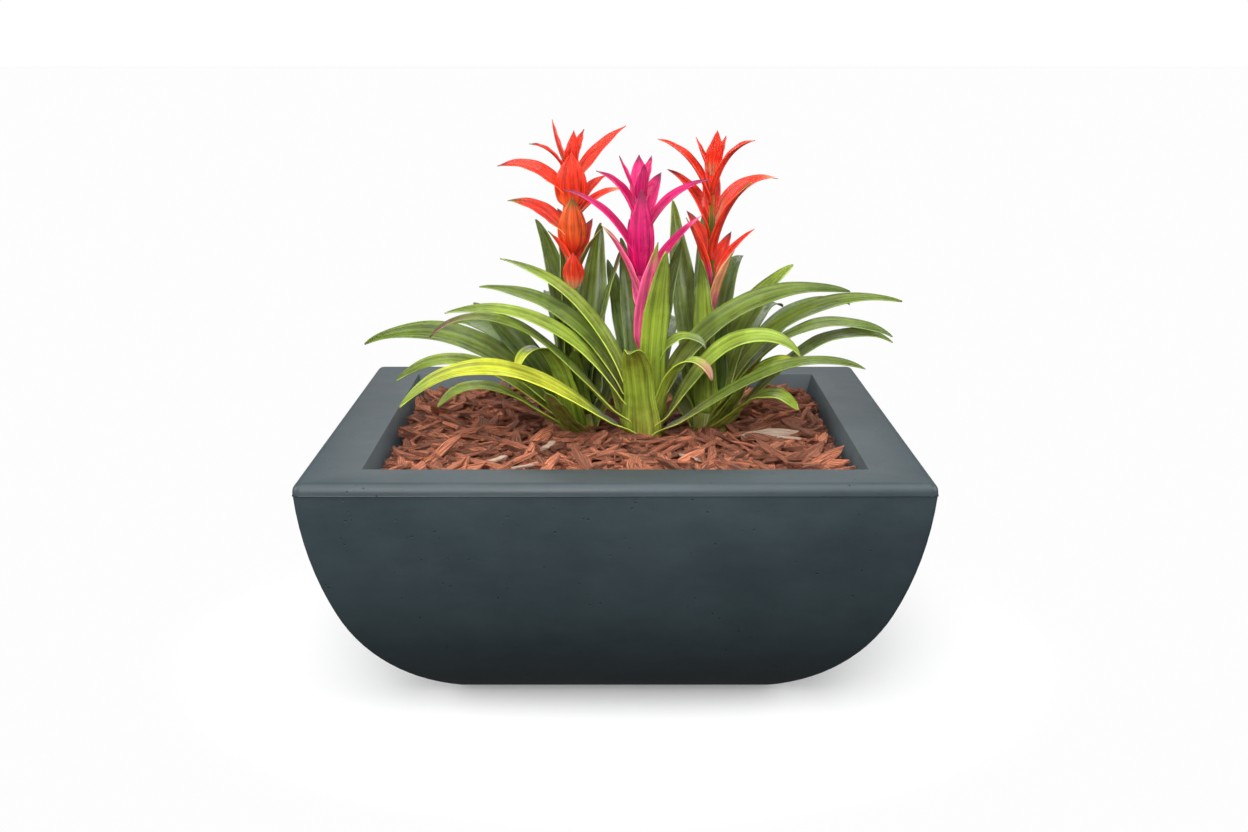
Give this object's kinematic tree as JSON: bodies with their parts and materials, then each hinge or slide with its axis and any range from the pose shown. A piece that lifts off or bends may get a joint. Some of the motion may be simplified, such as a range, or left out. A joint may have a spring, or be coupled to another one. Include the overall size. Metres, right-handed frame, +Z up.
{
  "type": "planter box",
  "caption": "Square concrete planter bowl with a flat rim and curved sides, filled with bark mulch and planted with flowering bromeliads.",
  "frame": {"origin": "centre of the square bowl, on the ground under its rubber pads", "axes": "+Z up, -Y towards the side seen from the front, +X to the right of that side"},
  "size_m": [0.7729, 0.762, 0.725],
  "materials": {
    "concrete": "smooth satin cast concrete, blue-grey charcoal",
    "rubber": "matte",
    "screen": "matte mesh",
    "gravel": "rough drainage gravel",
    "cloth": "non-woven filter cloth",
    "soil": null,
    "bark": "shredded red-brown bark",
    "pale_bark": "weathered pale wood",
    "leaf": null,
    "stalk": "fleshy yellow-green stalk",
    "pink_bract": "satin magenta bract",
    "red_bract": "satin orange-red bract"
  },
  "bodies": {
    "root": {"bowl_shell": "concrete", "foot_pads": "rubber", "drain_screen": "screen", "drainage_gravel": "gravel", "filter_fabric": "cloth", "potting_soil": "soil", "bark_mulch": "bark", "bark_chips": "bark", "pale_chips": "pale_bark", "front_plant_root_ball": "soil", "front_plant_crown": "leaf", "front_plant_flower_stalk": "stalk", "front_plant_outer_leaves": "leaf", "front_plant_inner_leaves": "leaf", "front_plant_lower_bracts": "pink_bract", "front_plant_upper_bracts": "pink_bract", "left_plant_root_ball": "soil", "left_plant_crown": "leaf", "left_plant_flower_stalk": "stalk", "left_plant_outer_leaves": "leaf", "left_plant_inner_leaves": "leaf", "left_plant_lower_bracts": "red_bract", "left_plant_upper_bracts": "red_bract", "right_plant_root_ball": "soil", "right_plant_crown": "leaf", "right_plant_flower_stalk": "stalk", "right_plant_outer_leaves": "leaf", "right_plant_inner_leaves": "leaf", "right_plant_lower_bracts": "red_bract", "right_plant_upper_bracts": "red_bract"}
  },
  "joints": []
}
